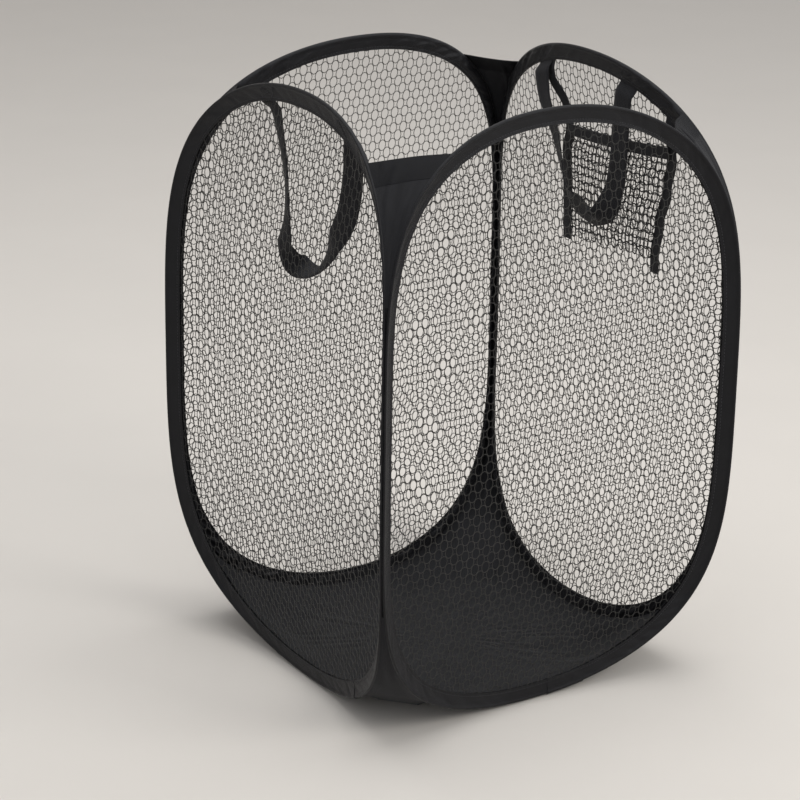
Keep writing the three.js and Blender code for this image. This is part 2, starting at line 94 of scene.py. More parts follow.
# Creases of the tape: lengths along it and across it over which they vary, and their height
fine_crease = (0.007, 0.05, 0.00022)
broad_crease = (0.032, 0.03, 0.0006)
drag_crease = (0.019, 0.08, 0.0022)
drag_slant = 1.8
drag_width_share = 0.55
drag_least_share = 0.12
crease_start_share = 0.2
crease_face_share = 0.4  # more of a crease on the inner face than on the outer one
lap_length = 0.042
lap_stand = 0.0007
lap_shares = {"front": 0.19, "right": 0.2, "back": 0.2, "left": 0.47}
binding_columns = 640
wire_columns = 320
lap_columns = 26

# Knitted net
knit_loop = 0.00055
knit_fibre = 0.00021
knit_relief = 0.00015
cell_width = 0.01215
cell_tall = 0.0172
mesh_half_width = 0.0047
mesh_half_tall = 0.0063
yarn_width = 0.00085
pouch_yarn_width = 0.0017
yarn_thickness = 0.0005
yarn_sides = 12
net_edge_inset = 0.0082  # of the outermost meshes' middles, under the tape
net_ripple = 0.0014
net_ripple_width = 0.11
net_ripple_tall = 0.16
net_drift = 0.0016
net_drift_pitch = 0.09

# Corner cloth and bottom
cloth_thickness = 0.0006
cloth_tuck = 0.0008
cloth_ripple = 0.0012
gusset_ripple = 0.0014
gusset_ripple_tall = 0.05
gusset_narrow = 0.05  # a cloth less wide than this lies flatter
lower_ripple_tall = 0.03
lower_narrow = 0.03
gusset_lap = 0.002  # of the upper gusset under its hem
corner_reach = 0.035  # of the bend, either way from the corner's joint
seam_reach = 0.006
seam_hollow = 0.0014
seam_gather = 0.0003
seam_gather_tall = 0.012
hem_tall = 0.017
hem_top = panel_top - 0.036
hem_lifts = {"left_front": (0, 0.0105), "right_back": (-0.0075, -0.002)}  # of its two ends
hem_foot = hem_top - hem_tall
seam_top = middle_height + 0.15
seam_foot = middle_height - 0.15
hem_thickness = 0.0011
gusset_sag = 0.007
bottom_corner_height = base_lift + 0.042
corner_flap = 0.012  # of the lower corner cloth, outside the bottom's upturned edge
bottom_reach_inset = 0.0026
bottom_thickness = 0.0008
bottom_flat_share = 0.72
bottom_turn_start_share = bottom_flat_share - 0.1
bottom_turn_end_share = 1.08
bottom_seam_share = 0.4  # of the bottom's width, sewn across its middle
bottom_pull = 0.0011
bottom_pull_turns = 34
bottom_ripple_pitch = 0.05

# Webbing handles
strap_width = 0.025
strap_thickness = 0.0016
strap_span = 0.14
strap_top_drop = 0.024
strap_cup = 0.0012
strap_columns = 150
strap_shares = [(-1, 0), (-0.96, 0.8), (-0.6, 1), (0, 1), (0.6, 1), (0.96, 0.8), (1, 0)]
strap_top = panel_top - strap_top_drop
handle_shift = 0.009
strap_stand = 0.0065
strap_tuck = 0.0045  # the length held under the tape
strap_rise = 0.013
sewn_stand = 0.0003
sewn_share = 0.35  # of the webbing's thickness, pressed flat where it is sewn
anchor_tall = 0.012
anchor_sewing_stand = 0.0018
anchor_sewing_tall = 0.009
anchor_sewing_inset = 0.003
strap_start = handle_shift - strap_span / 2
strap_finish = handle_shift + strap_span / 2

# Pouch on the right panel
layer_room = 0.0008
pouch_knit_half = 0.0004
pouch_width = 0.156
pouch_top_drop = 0.078
pouch_tall = 0.122
pouch_tilt = 0.013
pouch_belly = 0.008
pouch_hem_tall = 0.012
pouch_hem_thickness = 0.0012
pouch_tape_width = 0.013
pouch_tape_thickness = 0.0008
pouch_tape_lap = 0.005
pouch_tape_stand = fold_radius + layer_room + pouch_tape_thickness / 2
pouch_stand_at_side = pouch_tape_stand + pouch_tape_thickness / 2 + layer_room + pouch_knit_half
pouch_hem_stand = pouch_knit_half + layer_room + pouch_hem_thickness / 2
pouch_slack = 0.0022
pouch_slack_pitch = 0.03
pouch_hem_wave = 0.0006
pouch_tape_wave = 0.0004
pouch_tape_wave_pitch = 0.02
slope_step = 0.002

# Reliefs and threads of the finishes
webbing_rib = 0.0014
webbing_relief = 0.0004
thread_relief = 0.0001
scratch_relief = 0.00005
binding_thread = 0.00045
gusset_thread = 0.0004

# Sewing thread
stitch_pitch = 0.0034
stitch_length = 0.0027
thread_width = 0.0006

# Points nearer than these are joined
weld = 1e-6
wire_weld = 1e-7

sides = ["front", "right", "back", "left"]
UP = Vector((0, 0, 1))


def signed_power(value, power):
    return math.copysign(abs(value) ** power, value)


def edge_point(turn):
    """A point of the panel's outline and its outward direction, from the middle of the foot round."""
    across = signed_power(math.sin(turn), 2 / across_roundness)
    up = -signed_power(math.cos(turn), 2 / upright_roundness)
    slope_x = signed_power(across, across_roundness - 1) * across_roundness / half_width
    slope_z = signed_power(up, upright_roundness - 1) * upright_roundness / half_tall
    steep = math.hypot(slope_x, slope_z)
    return across * half_width, middle_height + up * half_tall, slope_x / steep, slope_z / steep


def turn_at_place(x):
    return math.asin(signed_power(x / half_width, across_roundness / 2))


def turn_at_height(z):
    return math.acos(-signed_power((z - middle_height) / half_tall, upright_roundness / 2))


def top_edge(x):
    """The outline's point over a place across the panel."""
    return edge_point(math.pi - turn_at_place(x))


def inset_from_outline(x, z):
    """Roughly how far a place on the panel lies in from its outline."""
    across, up = abs(x) / half_width, abs(z - middle_height) / half_tall
    level = across ** across_roundness + up ** upright_roundness
    slope_x = across_roundness * across ** (across_roundness - 1) / half_width
    slope_z = upright_roundness * up ** (upright_roundness - 1) / half_tall
    return max(0, 1 - level) / max(1, math.hypot(slope_x, slope_z))


def bow(x, z):
    """How far the panel lies in from the plane through its two corner seams."""
    up = (z - middle_height) / half_tall
    deep = bow_top if up > 0 else bow_bottom
    outline = edge_bow + bow_middle * max(0, 1 - (x / half_width) ** 2)
    way_in = min(1, inset_from_outline(x, z) / turned_reach)
    return deep * abs(up) ** bow_sharpness + lerp(edge_bow + turned_bow, outline, (1 - way_in) ** 2)


def on_panel(edge, inset, inward):
    """A point at a length in from the outline, measured along the turned-in cloth."""
    steps = max(1, math.ceil(inset / laying_step))
    step = inset / steps
    reach = 0.0
    for _ in range(steps if inset > 0 else 0):
        here = bow(edge[0] - edge[2] * reach, edge[1] - edge[3] * reach)
        ahead = reach + step
        rise = bow(edge[0] - edge[2] * ahead, edge[1] - edge[3] * ahead) - here
        reach += step * step / math.hypot(step, rise)
    reach = reach if inset > 0 else inset
    x = edge[0] - edge[2] * reach
    z = edge[1] - edge[3] * reach
    return Vector((x, bow(x, z) + inward, z))


def placed(point, quarter):
    """From a panel's own frame to the hamper's: quarter 0 is the front, counted towards +X."""
    x, y, z = point.x, point.y - hinge_half, point.z
    return [Vector((x, y, z)), Vector((-y, x, z)), Vector((-x, -y, z)), Vector((y, -x, z))][quarter]


def across_panel(quarter, way=1):
    """The direction into the hamper through a panel, or out of it."""
    return placed(Vector((0, way, 0)), quarter) - placed(Vector((0, 0, 0)), quarter)


def wander(*place):
    """A smooth irregular value from about -1 to 1, the same for the same place every time."""
    return noise.noise(Vector(place))


def smoothstep(low, high, value):
    share = min(1, max(0, (value - low) / (high - low)))
    return share * share * (3 - 2 * share)


def lerp(a, b, share):
    return a + (b - a) * share


quarter_steps = 500


def eased_turn(step):
    """Turns that crowd together where the outline's formula runs fastest."""
    quarter, part = divmod(step, quarter_steps)
    return (quarter + (1 - math.cos(math.pi * part / quarter_steps)) / 2) * math.pi / 2


def outline_lengths():
    """Length along the outline at each eased step."""
    lengths = [0.0]
    before = on_panel(edge_point(0), 0, 0)
    for step in range(1, 4 * quarter_steps + 1):
        here = on_panel(edge_point(eased_turn(step)), 0, 0)
        lengths.append(lengths[-1] + (here - before).length)
        before = here
    return lengths


lengths_along = outline_lengths()
outline_length = lengths_along[-1]


def edge_at_length(length):
    length %= outline_length
    after = max(1, bisect_left(lengths_along, length))
    low, high = lengths_along[after - 1], lengths_along[after]
    step = after - 1 + (length - low) / (high - low)
    return edge_point(eased_turn(step))


def lap_length_along(side):
    """Where the binding's ends lap, as a length from the middle of the foot."""
    wanted = lap_shares[side] * half_width
    steps = range(quarter_steps)
    nearest = min(steps, key=lambda step: abs(edge_point(eased_turn(step))[0] - wanted))
    return lengths_along[nearest]


def edge_stations(side, columns):
    start = lap_length_along(side)
    return [edge_at_length(start + outline_length * k / columns) for k in range(columns)]


def curl(edge):
    """1 where the outline turns a corner, 0 along its straighter runs."""
    return min(1, 2.2 * abs(edge[2] * edge[3]))


def pucker(along, inset, edge, seed):
    """Creases of the tape: slanting drag lines round the corners, faint puckers along its stitches."""
    near_edge = smoothstep(crease_start_share, 1, inset / tape_depth)
    fine = wander(along / fine_crease[0], inset / fine_crease[1], seed)
    broad = wander(along / broad_crease[0], inset / broad_crease[1], seed + 5)
    slant = (along + drag_slant * inset) / drag_crease[0]
    drawn = wander(slant, (along - inset) / drag_crease[1], seed + 9)
    sharp = (max(0, drag_width_share - abs(drawn)) / drag_width_share) ** 3
    arch = math.sin(math.pi * min(1, inset / tape_depth))
    drag = (drag_least_share + curl(edge)) * sharp * drag_crease[2] * arch
    return near_edge * (fine * fine_crease[2] + broad * broad_crease[2]) + drag


def linked(name, data):
    made = bpy.data.objects.new(name, data)
    bpy.context.scene.collection.objects.link(made)
    return made


def finished(name, mesh, body, slot, material):
    """Turns a bmesh into a piece of the hamper that rides on a body."""
    for edge in mesh.edges:
        edge.smooth = not edge.is_boundary
    data = bpy.data.meshes.new(name)
    mesh.to_mesh(data)
    mesh.free()
    data.shade_smooth()
    piece = linked(name, data)
    data.materials.append(material)
    if body:
        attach(piece, body)
    return piece


def cloth_grid(columns, rows, place, width, length):
    """A grid laid on the cloth's flat size in its UV map, with each corner put where place says."""
    mesh = bmesh.new()
    flat = mesh.loops.layers.uv.new("flat")
    bmesh.ops.create_grid(mesh, x_segments=columns, y_segments=rows, size=0.5)
    for face in mesh.faces:
        for loop in face.loops:
            loop[flat].uv = ((loop.vert.co.x + 0.5) * width, (loop.vert.co.y + 0.5) * length)
    for vert in mesh.verts:
        vert.co = place(vert.co.x + 0.5, vert.co.y + 0.5)
    return mesh


def faced(mesh, towards):
    """Turns all faces over where most of them look away from the given direction."""
    mesh.normal_update()
    if sum(face.normal.dot(towards(face.calc_center_median())) for face in mesh.faces) < 0:
        bmesh.ops.reverse_faces(mesh, faces=mesh.faces)
    return mesh


def thickened(piece, thickness, offset=0.0):
    wall = piece.modifiers.new("wall", "SOLIDIFY")
    wall.thickness = thickness
    wall.offset = offset
    wall.use_even_offset = False
    return piece


def capped(mesh, sides_round, joined):
    """Joins a rolled-up grid along its seam and closes its two ends."""
    bmesh.ops.remove_doubles(mesh, verts=mesh.verts, dist=joined)
    ends = [edge for edge in mesh.edges if edge.is_boundary]
    bmesh.ops.holes_fill(mesh, edges=ends, sides=sides_round)
    bmesh.ops.recalc_face_normals(mesh, faces=mesh.faces)
    return mesh


def stitched(mesh, spots):
    """Adds one short rounded stitch of thread for each (place, along, outward)."""
    for place, along, outward in spots:
        beside = outward.cross(along).normalized()
        upward = along.cross(beside).normalized()
        turn = Matrix((along.normalized(), beside, upward)).transposed().to_4x4()
        size = Matrix.Diagonal((stitch_length, thread_width, thread_width, 1))
        bmesh.ops.create_icosphere(
            mesh, subdivisions=1, radius=0.5, matrix=Matrix.Translation(place) @ turn @ size
        )
    return mesh


def inner_cloth(name, node, mesh, body, quarter, slot, finish, thickness):
    """A cloth that faces into the hamper, in place of a node of the solids."""
    mesh = faced(mesh, lambda centre: across_panel(quarter))
    piece = finished(name, mesh, body, slot, finish)
    thickened(piece, thickness)
    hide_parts(node)
    return piece


def stitch_line(start, end, outward):
    """Stitches along a straight line."""
    run = end - start
    count = max(1, round(run.length / stitch_pitch))
    return [(start + run * ((k + 0.5) / count), run.normalized(), outward) for k in range(count)]


# Finishes

def shade(red, green, blue):
    """A colour as it is seen on a screen, from 0 to 255, as the shader's own light value."""
    def light(value):
        value /= 255
        return value / 12.92 if value <= 0.04045 else ((value + 0.055) / 1.055) ** 2.4
    return light(red), light(green), light(blue), 1


class Finish:
    """A material under construction: its nodes and the links between them."""

    def __init__(self, name):
        self.material = bpy.data.materials.new(name)
        self.material.use_nodes = True
        self.tree = self.material.node_tree
        self.shader = self.tree.nodes["Principled BSDF"]
        self.output = self.tree.nodes["Material Output"]

    def node(self, kind, **settings):
        made = self.tree.nodes.new(kind)
        for key, value in settings.items():
            setattr(made, key, value)
        return made

    def link(self, source, target):
        self.tree.links.new(source, target)

    def feed(self, name, value):
        """Sets an input of the shader to a number, or joins a node's output to it."""
        socket = self.shader.inputs[name]
        if isinstance(value, (int, float)):
            socket.default_value = value
        else:
            self.link(value, socket)

    def math(self, operation, a, b=None, clamp=False):
        made = self.node("ShaderNodeMath", operation=operation, use_clamp=clamp)
        for socket, value in zip(made.inputs, (a, b)):
            if value is None:
                continue
            if isinstance(value, (int, float)):
                socket.default_value = value
            else:
                self.link(value, socket)
        return made.outputs[0]

    def spread(self, source, low, high):
        """The source's 0 to 1 as a value from low to high."""
        made = self.node("ShaderNodeMapRange")
        made.inputs["To Min"].default_value = low
        made.inputs["To Max"].default_value = high
        self.link(source, made.inputs["Value"])
        return made.outputs[0]

    def mixed(self, share, first, second):
        """A colour between two, by a share."""
        made = self.node("ShaderNodeMix", data_type="RGBA")
        made.inputs[6].default_value = first
        made.inputs[7].default_value = second
        self.link(share, made.inputs[0])
        return made.outputs[2]

    def noise(self, place, scale, detail=3.0):
        made = self.node("ShaderNodeTexNoise")
        made.inputs["Scale"].default_value = scale
        made.inputs["Detail"].default_value = detail
        self.link(place, made.inputs["Vector"])
        return made.outputs["Fac"]

    def bands(self, place, direction, width):
        """Rounded ribs of a given width, in metres, side by side in one direction."""
        made = self.node("ShaderNodeTexWave", bands_direction=direction, wave_profile="SIN")
        made.inputs["Scale"].default_value = math.pi / 10 / width
        self.link(place, made.inputs["Vector"])
        return made.outputs["Fac"]

    def relief(self, height, distance, strength):
        made = self.node("ShaderNodeBump")
        made.inputs["Distance"].default_value = distance
        made.inputs["Strength"].default_value = strength
        self.link(height, made.inputs["Height"])
        self.link(made.outputs[0], self.shader.inputs["Normal"])

    def shine_through(self, colour, share):
        """Lets a share of the light through the cloth."""
        through = self.node("ShaderNodeBsdfTranslucent")
        self.link(colour, through.inputs["Color"])
        both = self.node("ShaderNodeMixShader")
        both.inputs[0].default_value = share
        self.link(self.shader.outputs[0], both.inputs[1])
        self.link(through.outputs[0], both.inputs[2])
        self.link(both.outputs[0], self.output.inputs["Surface"])


def woven_finish(name, dark, light, thread, roughness, sheen, relief=0.5, glow=0.0, gloss=0.15):
    """Plain-woven nylon: crossing threads, soft sheen, faint patches of wear."""
    finish = Finish(name)
    flat = finish.node("ShaderNodeUVMap", uv_map="flat").outputs[0]
    warp = finish.bands(flat, "X", thread)
    weft = finish.bands(flat, "Y", thread)
    weave = finish.math("MULTIPLY", warp, weft)
    patches = finish.noise(flat, 38)
    fuzz = finish.noise(flat, 900, 2.0)
    tone = finish.math("MULTIPLY", patches, finish.spread(weave, 0.55, 1.25), clamp=True)
    colour = finish.mixed(tone, dark, light)
    finish.feed("Base Color", colour)
    rough = finish.spread(fuzz, roughness - 0.08, roughness + 0.08)
    finish.feed("Roughness", rough)
    finish.feed("Sheen Weight", sheen)
    finish.feed("Sheen Roughness", 0.4)
    finish.feed("Specular IOR Level", gloss)
    finish.relief(finish.math("ADD", weave, finish.math("MULTIPLY", fuzz, 0.4)), thread / 3, relief)
    if glow:
        finish.shine_through(colour, glow)
    return finish.material


def net_finish(name, dark, light, glow):
    """Knitted polyester yarn: fine twisted loops along the strands and a dull lustre, with a painted
    highlight along each strand's crest and painted shade at the edges of its hole.
    """
    finish = Finish(name)
    flat = finish.node("ShaderNodeUVMap", uv_map="flat").outputs[0]
    loops = finish.bands(flat, "Y", knit_loop)
    fibres = finish.bands(flat, "DIAGONAL", knit_fibre)
    knit = finish.math("MAXIMUM", loops, fibres)
    # Painted light: the crest mark makes each strand lighter along its crest and darker at its hole's
    # edges.
    crest = finish.node("ShaderNodeAttribute", attribute_name="crest").outputs["Fac"]
    full = finish.math("MULTIPLY", crest, finish.spread(finish.noise(flat, 25), 0.7, 1.5), clamp=True)
    tone = finish.math("MULTIPLY", full, finish.spread(knit, 0.75, 1.1), clamp=True)
    colour = finish.mixed(tone, dark, light)
    finish.feed("Base Color", colour)
    finish.feed("Roughness", finish.spread(knit, 0.75, 0.55))
    finish.feed("Specular IOR Level", 0.3)
    finish.relief(knit, knit_relief, 0.6)
    finish.shine_through(colour, glow)
    return finish.material


def webbing_finish(name, rib):
    """Heavy woven webbing: herringbone ribs along its length with darker gaps."""
    finish = Finish(name)
    flat = finish.node("ShaderNodeUVMap", uv_map="flat").outputs[0]
    ribs = finish.bands(flat, "Y", rib)
    picks = finish.bands(flat, "X", rib * 0.6)
    twill = finish.bands(flat, "DIAGONAL", rib * 0.8)
    weave = finish.math("MULTIPLY", finish.math("MAXIMUM", ribs, twill), finish.spread(picks, 0.6, 1))
    patches = finish.noise(flat, 60)
    tone = finish.math("MULTIPLY", weave, finish.spread(patches, 0.5, 1.2), clamp=True)
    colour = finish.mixed(tone, shade(12, 12, 14), shade(38, 38, 42))
    finish.feed("Base Color", colour)
    finish.feed("Roughness", finish.spread(patches, 0.62, 0.8))
    finish.feed("Sheen Weight", 0.05)
    finish.feed("Specular IOR Level", 0.2)
    finish.relief(weave, webbing_relief, 0.8)
    return finish.material


def thread_finish(name):
    """Twisted sewing thread."""
    finish = Finish(name)
    place = finish.node("ShaderNodeTexCoord").outputs["Object"]
    ply = finish.node("ShaderNodeTexWave", bands_direction="DIAGONAL")
    ply.inputs["Scale"].default_value = 900
    finish.link(place, ply.inputs["Vector"])
    colour = finish.mixed(ply.outputs["Fac"], shade(20, 20, 22), shade(60, 60, 66))
    finish.feed("Base Color", colour)
    finish.feed("Roughness", finish.spread(ply.outputs["Fac"], 0.6, 0.42))
    finish.relief(ply.outputs["Fac"], thread_relief, 0.5)
    return finish.material


def steel_finish(name, tone, roughness):
    """Drawn spring steel with fine scratches along its grain."""
    finish = Finish(name)
    place = finish.node("ShaderNodeTexCoord").outputs["Object"]
    grain = finish.noise(place, 700, 4.0)
    colour = finish.mixed(grain, shade(tone - 25, tone - 24, tone - 22), shade(tone, tone, tone))
    finish.feed("Base Color", colour)
    finish.feed("Roughness", finish.spread(grain, roughness - 0.1, roughness + 0.12))
    finish.feed("Metallic", 1)
    finish.relief(grain, scratch_relief, 0.4)
    return finish.material


binding_nylon = woven_finish(
    "binding_nylon", shade(14, 14, 16), shade(27, 27, 31), binding_thread, 0.38, 0.05, gloss=0.2
)
gusset_nylon = woven_finish(
    "gusset_nylon", shade(27, 27, 29), shade(52, 52, 55), gusset_thread, 0.58, 0.1, glow=0.26
)
hem_nylon = woven_finish(
    "hem_nylon", shade(13, 13, 15), shade(27, 27, 30), gusset_thread, 0.5, 0.03, glow=0.04, gloss=0.1
)
bottom_nylon = woven_finish(
    "bottom_nylon", shade(18, 18, 20), shade(36, 36, 39), binding_thread, 0.6, 0.08
)
pouch_nylon = woven_finish("pouch_nylon", shade(17, 17, 19), shade(36, 36, 40), gusset_thread, 0.55, 0.1)
# The panel net's yarn is painted lighter than the dark yarn itself: painted light from the backdrop
# showing through the open knit.
net_yarn = net_finish("net_yarn", shade(84, 83, 81), shade(150, 148, 144), 0.55)
pouch_yarn = net_finish("pouch_yarn", shade(22, 22, 23), shade(46, 46, 47), 0.1)
handle_webbing = webbing_finish("handle_webbing", webbing_rib)
black_thread = thread_finish("black_thread")
wire_steel = steel_finish("wire_steel", 168, 0.34)
ferrule_steel = steel_finish("ferrule_steel", 190, 0.42)


# Bound edges: wire, folded tape, its lap and its stitching

def tape_section():
    """Half across the folded tape, from its stitched edge: place in from the outline, half thickness."""
    arc = [math.radians(angle) for angle in tape_fold_degrees]
    fold = [(fold_radius * (1 + math.cos(a)), fold_radius * math.sin(a)) for a in arc]
    return tape_flange + fold


def folded_strip(columns, edge_at, stand, seed, closed):
    """The tape over its whole way round the wire, as one open sheet along the given edge."""
    half = tape_section()
    section = [(inset, -thick) for inset, thick in half] + [(0, 0)] + half[::-1]
    last = len(section) - 1

    def place(u, v):
        edge, along = edge_at(u)
        inset, inward = section[round(v * last)]
        outwards = math.copysign(1, inward) if inward else 0
        crease = pucker(along, inset, edge, seed + outwards)
        swell = (abs(inward) / fold_radius) * stand * outwards
        fold_side = stand * (1 - smoothstep(0, fold_radius, inset))
        lifted = inward + swell + crease + crease * outwards * crease_face_share
        return on_panel(edge, inset - fold_side, lifted)

    mesh = cloth_grid(columns, last, place, outline_length if closed else lap_length, tape_cut_width)
    if closed:
        bmesh.ops.remove_doubles(mesh, verts=mesh.verts, dist=weld)
    return mesh


def moved(mesh, quarter):
    for vert in mesh.verts:
        vert.co = placed(vert.co, quarter)
    return mesh


def away_from_wire(quarter):
    """The direction out of the folded tape at a place on it, seen from its wire."""
    middle = placed(Vector((0, 0, middle_height)), quarter)
    outward = (placed(Vector((0, -1, middle_height)), quarter) - middle).normalized()

    def towards(place):
        from_middle = place - middle
        return from_middle - outward * from_middle.dot(outward)
    return towards


def tube(columns, edge_at, radius, stations_round=8):
    """A round wire along the outline, its middle in the fold of the tape."""
    def place(u, v):
        edge = edge_at(u)
        angle = 2 * math.pi * v
        reach = radius(u)
        return on_panel(edge, fold_radius + reach * math.cos(angle), reach * math.sin(angle))
    mesh = cloth_grid(columns, stations_round, place, outline_length, 2 * math.pi * radius(0))
    return capped(mesh, stations_round, wire_weld)


def spring_wire(side, quarter):
    start = lap_length_along(side) + wire_end_gap / 2
    run = outline_length - wire_end_gap
    mesh = tube(wire_columns, lambda u: edge_at_length(start + run * u), lambda u: wire_radius)
    piece = finished(
        f"spring_wire_{side}", moved(mesh, quarter), f"{side}_panel", "spring_wire", wire_steel
    )
    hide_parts(f"wire_loop_{side}")


def wire_ferrule(side, quarter):
    """The crimped sleeve over the wire's two ends."""
    start = lap_length_along(side) - ferrule_length / 2

    def pinched(u):
        return ferrule_radius - ferrule_crimp * math.sin(math.pi * 3 * u) ** 2

    mesh = tube(ferrule_columns, lambda u: edge_at_length(start + ferrule_length * u), pinched, 14)
    piece = finished(
        f"ferrule_{side}", moved(mesh, quarter), f"{side}_panel", "ferrule_metal", ferrule_steel
    )
    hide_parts(f"wire_ferrule_{side}")


def tape_piece(name, node, side, quarter, strip):
    """A stretch of the folded tape, as cloth round what it rests on."""
    outer = faced(moved(strip, quarter), away_from_wire(quarter))
    piece = finished(name, outer, f"{side}_panel", "binding_tape", binding_nylon)
    thickened(piece, tape_wall, -1)
    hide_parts(node)


def bound_edge(side, quarter):
    stations = edge_stations(side, binding_columns)

    def edge_at(u):
        column = round(u * binding_columns) % binding_columns
        return stations[column], outline_length * column / binding_columns

    strip = folded_strip(binding_columns, edge_at, 0, quarter * 11, True)
    name = f"bound_edge_{side}"
    tape_piece(name, f"binding_{side}", side, quarter, strip)


def bound_edge_lap(side, quarter):
    """The short stretch where the tape's ends lap."""
    start = lap_length_along(side) - lap_length / 2
    whole = outline_length - lap_length / 2

    def edge_at(u):
        return edge_at_length(start + lap_length * u), (whole + lap_length * u) % outline_length

    strip = folded_strip(lap_columns, edge_at, lap_stand, quarter * 11, False)
    name = f"bound_edge_lap_{side}"
    tape_piece(name, f"binding_lap_{side}", side, quarter, strip)


def edge_stitching(side, quarter):
    """Two rows of stitches through the tape and the net, one on each face."""
    count = round(outline_length / stitch_pitch)
    start = lap_length_along(side)
    mesh = bmesh.new()
    for facing in (-1, 1):
        for k in range(count):
            along = outline_length * (k + 0.5) / count
            spots = []
            for length in (along - stitch_length / 2, along + stitch_length / 2):
                edge = edge_at_length(start + length)
                crease = pucker(length, stitch_inset, edge, quarter * 11 + facing)
                inward = facing * stitch_stand + crease + crease * facing * crease_face_share
                spots.append(placed(on_panel(edge, stitch_inset, inward), quarter))
            run = spots[1] - spots[0]
            stitched(mesh, [((spots[0] + spots[1]) / 2, run, across_panel(quarter, facing))])
    finished(f"edge_stitching_{side}", mesh, f"{side}_panel", "binding_tape", black_thread)


# Nets

def net_cell(yarn):
    """One mesh of the net: a three-sided thread round its oval hole, with its crest marked for the
    yarn's painted highlight.
    """
    mesh = bmesh.new()
    crest = mesh.verts.layers.float.new("crest")
    loops = []
    for inset, rise in ((0, 0), (yarn, 0), (yarn / 2, yarn_thickness)):
        ring = bmesh.ops.create_circle(mesh, segments=yarn_sides, radius=1)["verts"]
        bmesh.ops.scale(mesh, verts=ring, vec=(mesh_half_width - inset, mesh_half_tall - inset, 1))
        bmesh.ops.translate(mesh, verts=ring, vec=(0, 0, rise))
        for vert in ring:
            vert[crest] = rise / yarn_thickness
        loops.append(list({edge for vert in ring for edge in vert.link_edges}))
    for first, second in ((0, 1), (1, 2), (2, 0)):
        bmesh.ops.bridge_loops(mesh, edges=loops[first] + loops[second])
    bmesh.ops.recalc_face_normals(mesh, faces=mesh.faces)
    return mesh


def flat_net(width, height, yarn):
    """Enough meshes, in staggered columns, to cover a width and a height."""
    mesh = net_cell(yarn)
    pair = bmesh.ops.duplicate(mesh, geom=mesh.verts[:] + mesh.edges[:] + mesh.faces[:])
    second = [item for item in pair["geom"] if isinstance(item, bmesh.types.BMVert)]
    bmesh.ops.translate(mesh, verts=second, vec=(cell_width / 2, cell_tall / 2, 0))
    columns = math.ceil(width / cell_width) + 1
    rows = math.ceil(height / cell_tall) + 1
    corner = (-cell_width * (columns - 0.5) / 2, -cell_tall * (rows - 0.5) / 2, 0)
    bmesh.ops.translate(mesh, verts=mesh.verts, vec=corner)
    data = bpy.data.meshes.new("net_cells")
    mesh.to_mesh(data)
    mesh.free()
    holder = linked("net_cells", data)
    for count, step in ((columns, (cell_width, 0, 0)), (rows, (0, cell_tall, 0))):
        repeat = holder.modifiers.new("repeat", "ARRAY")
        repeat.count = count
        repeat.use_relative_offset = False
        repeat.use_constant_offset = True
        repeat.constant_offset_displace = step
    whole = bmesh.new()
    whole.from_object(holder, bpy.context.evaluated_depsgraph_get())
    bpy.data.objects.remove(holder)
    bpy.data.meshes.remove(data)
    return whole


def net_piece(name, width, height, yarn, kept, place, body, slot, finish):
    """A net of the whole meshes whose middles kept says yes to, with its flat size in its UV map."""
    mesh = flat_net(width, height, yarn)
    flat = mesh.loops.layers.uv.new("flat")
    ring_size = 3 * yarn_sides
    verts = mesh.verts[:]
    outside = []
    for first in range(0, len(verts), ring_size):
        ring = verts[first:first + ring_size]
        centre = sum((vert.co for vert in ring), Vector()) / ring_size
        if not kept(centre.x, centre.y):
            outside += ring
    bmesh.ops.delete(mesh, geom=outside, context="VERTS")
    for face in mesh.faces:
        for loop in face.loops:
            loop[flat].uv = (loop.vert.co.x, loop.vert.co.y)
    for vert in mesh.verts:
        vert.co = place(vert.co.x, vert.co.y, vert.co.z)
    return finished(name, mesh, body, slot, finish)


def inside_outline(x, z, inset):
    reach = (abs(x) / (half_width - inset)) ** across_roundness
    return reach + (abs(z - middle_height) / (half_tall - inset)) ** upright_roundness < 1


def panel_net(side, quarter):
    def kept(x, z):
        return inside_outline(x, z + middle_height, net_edge_inset)

    def place(x, z, rise):
        height = z + middle_height
        calm = 1 - (abs(x) / half_width) ** 2 - (abs(z) / half_tall) ** 4
        wave = wander(x / net_ripple_width, z / net_ripple_tall, quarter * 7)
        spot = (x / net_drift_pitch, z / net_drift_pitch)
        drift_x = wander(*spot, quarter * 7 + 3)
        drift_z = wander(*spot, quarter * 7 + 6)
        room = max(0, calm)
        x += drift_x * net_drift * room
        height += drift_z * net_drift * room
        inward = wave * net_ripple * room
        return placed(Vector((x, bow(x, height) + inward + rise, height)), quarter)

    piece = net_piece(
        f"net_{side}_knit", 2 * half_width, panel_height, yarn_width, kept, place, f"{side}_panel",
        "panel_net", net_yarn
    )
    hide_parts(f"net_{side}")


# Corners

corner_ways = {
    "front_right": (Vector((1, 1, 0)), Vector((hinge_half, -hinge_half, 0))),
    "right_back": (Vector((-1, 1, 0)), Vector((hinge_half, hinge_half, 0))),
    "back_left": (Vector((-1, -1, 0)), Vector((-hinge_half, hinge_half, 0))),
    "left_front": (Vector((1, -1, 0)), Vector((-hinge_half, -hinge_half, 0))),
}


